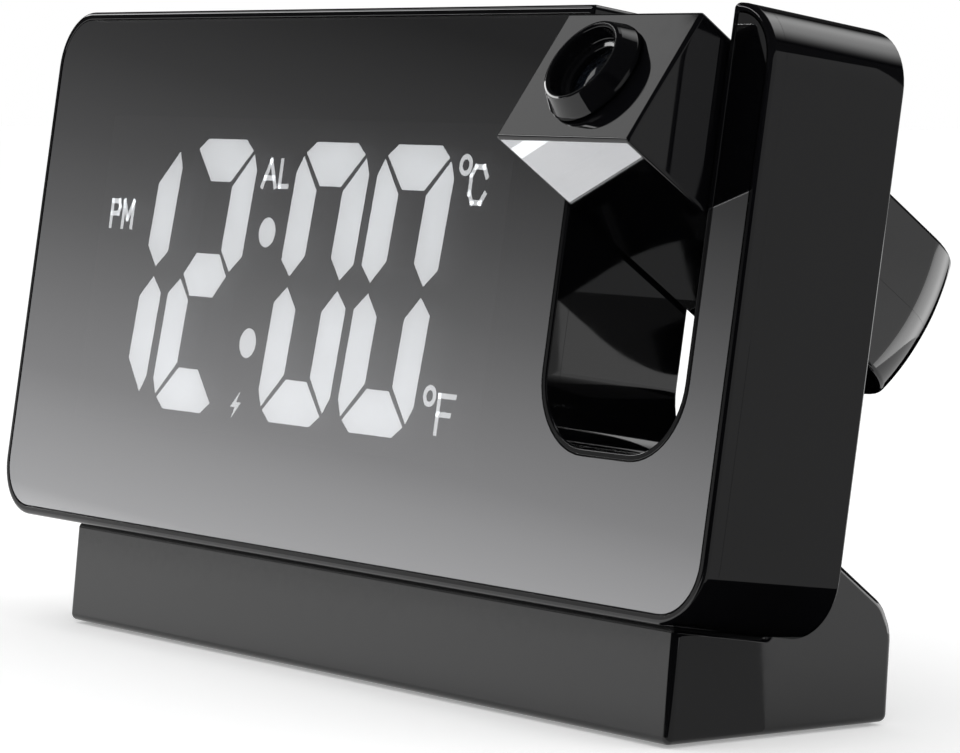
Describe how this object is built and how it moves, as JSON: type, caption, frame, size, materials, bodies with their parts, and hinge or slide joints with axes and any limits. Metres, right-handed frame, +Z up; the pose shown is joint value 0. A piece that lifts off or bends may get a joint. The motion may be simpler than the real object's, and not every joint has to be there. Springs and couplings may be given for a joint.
{
  "type": "projection alarm clock",
  "caption": "Mirror-faced digital alarm clock on a low stand, with a swinging projector arm in a slot, a turning focus ring, snooze bar, rear buttons and battery door.",
  "frame": {"origin": "on the table under the middle of the whole clock, with the arm as stored", "axes": "+Z up, +X along the clock's width to the viewer's right, the mirror face looks to -Y and leans back 9 degrees"},
  "size_m": [0.186, 0.0615, 0.1001],
  "materials": {
    "gloss_black_plastic": "injection-moulded, polished gloss black",
    "satin_black_plastic": "moulded, satin black",
    "half_mirror": "smoked half-mirror acrylic, polished",
    "lit_diffuser": "white diffuser, lit from behind",
    "dark_diffuser": "white diffuser, unlit behind the half-mirror",
    "circuit_board": "green solder mask on glass fibre",
    "component_black": "black moulded electronic parts",
    "cable_sheath": "soft black cable sheath",
    "bright_steel": "zinc-plated steel",
    "bush_brass": "sintered bronze-coloured brass",
    "fibre_washer": "brown vulcanised fibre",
    "foot_rubber": "soft black rubber",
    "lcd_glass": "dark liquid-crystal glass",
    "clear_lens": "clear moulded acrylic",
    "white_led": "light-emitting diode with phosphor"
  },
  "bodies": {
    "clock": {"stand_shell": "gloss_black_plastic", "floor_plate": "satin_black_plastic", "battery_contacts": "bright_steel", "rubber_feet": "foot_rubber", "floor_screws": "bright_steel", "stand_screws": "bright_steel", "rear_shell": "gloss_black_plastic", "front_bezel": "gloss_black_plastic", "mirror_panel": "half_mirror", "display_frame": "satin_black_plastic", "lit_segments": "lit_diffuser", "dark_segments": "dark_diffuser", "indicator_lights": "dark_diffuser", "display_board": "circuit_board", "main_board": "circuit_board", "board_parts": "component_black", "board_screws": "bright_steel", "button_switches": "component_black", "speaker": "component_black", "usb_socket": "bright_steel", "shell_screws": "bright_steel", "pivot_bush_left": "bush_brass", "pivot_bush_right": "bush_brass", "projector_cable": "cable_sheath"},
    "projector_arm": {"arm_front_shell": "gloss_black_plastic", "arm_rear_shell": "gloss_black_plastic", "pivot_stub_left": "bright_steel", "pivot_stub_right": "bright_steel", "pivot_washers": "fibre_washer", "pivot_clips": "bright_steel", "lens_tube": "satin_black_plastic", "projection_lcd": "lcd_glass", "condenser_lens": "clear_lens", "led_board": "circuit_board", "projection_led": "white_led", "arm_screws": "bright_steel"},
    "focus_ring": {"focus_ring": "gloss_black_plastic", "projection_lens": "clear_lens"},
    "snooze_bar": {"snooze_bar": "gloss_black_plastic"},
    "battery_door": {"battery_door": "satin_black_plastic"},
    "mode_button": {"mode_button": "gloss_black_plastic"},
    "alarm_button": {"alarm_button": "gloss_black_plastic"},
    "up_button": {"up_button": "gloss_black_plastic"},
    "down_button": {"down_button": "gloss_black_plastic"},
    "projection_button": {"projection_button": "gloss_black_plastic"}
  },
  "joints": [
    {"name": "arm_swing", "type": "hinge", "parent": "clock", "child": "projector_arm", "pos_m": [0.06815, -0.00425, 0.07562], "axis": [1, 0, 0], "range_deg": [-152.6, 27.4]},
    {"name": "focus_turn", "type": "hinge", "parent": "projector_arm", "child": "focus_ring", "pos_m": [0.06815, -0.02413, 0.09027], "axis": [0, -0.8049, 0.5934], "range_deg": [-120, 120]},
    {"name": "snooze_press", "type": "slide", "parent": "clock", "child": "snooze_bar", "axis": [0, -0.1564, -0.9877], "range_m": [0, 0.0008], "stiffness_N_per_m": 1500},
    {"name": "mode_press", "type": "slide", "parent": "clock", "child": "mode_button", "axis": [0, -0.9877, 0.1564], "range_m": [0, 0.0006], "stiffness_N_per_m": 1500},
    {"name": "alarm_press", "type": "slide", "parent": "clock", "child": "alarm_button", "axis": [0, -0.9877, 0.1564], "range_m": [0, 0.0006], "stiffness_N_per_m": 1500},
    {"name": "up_press", "type": "slide", "parent": "clock", "child": "up_button", "axis": [0, -0.9877, 0.1564], "range_m": [0, 0.0006], "stiffness_N_per_m": 1500},
    {"name": "down_press", "type": "slide", "parent": "clock", "child": "down_button", "axis": [0, -0.9877, 0.1564], "range_m": [0, 0.0006], "stiffness_N_per_m": 1500},
    {"name": "projection_press", "type": "slide", "parent": "clock", "child": "projection_button", "axis": [0, -0.9877, 0.1564], "range_m": [0, 0.0006], "stiffness_N_per_m": 1500},
    {"name": "battery_door_slide", "type": "slide", "parent": "clock", "child": "battery_door", "axis": [0, 1, 0], "range_m": [0, 0.015]}
  ]
}
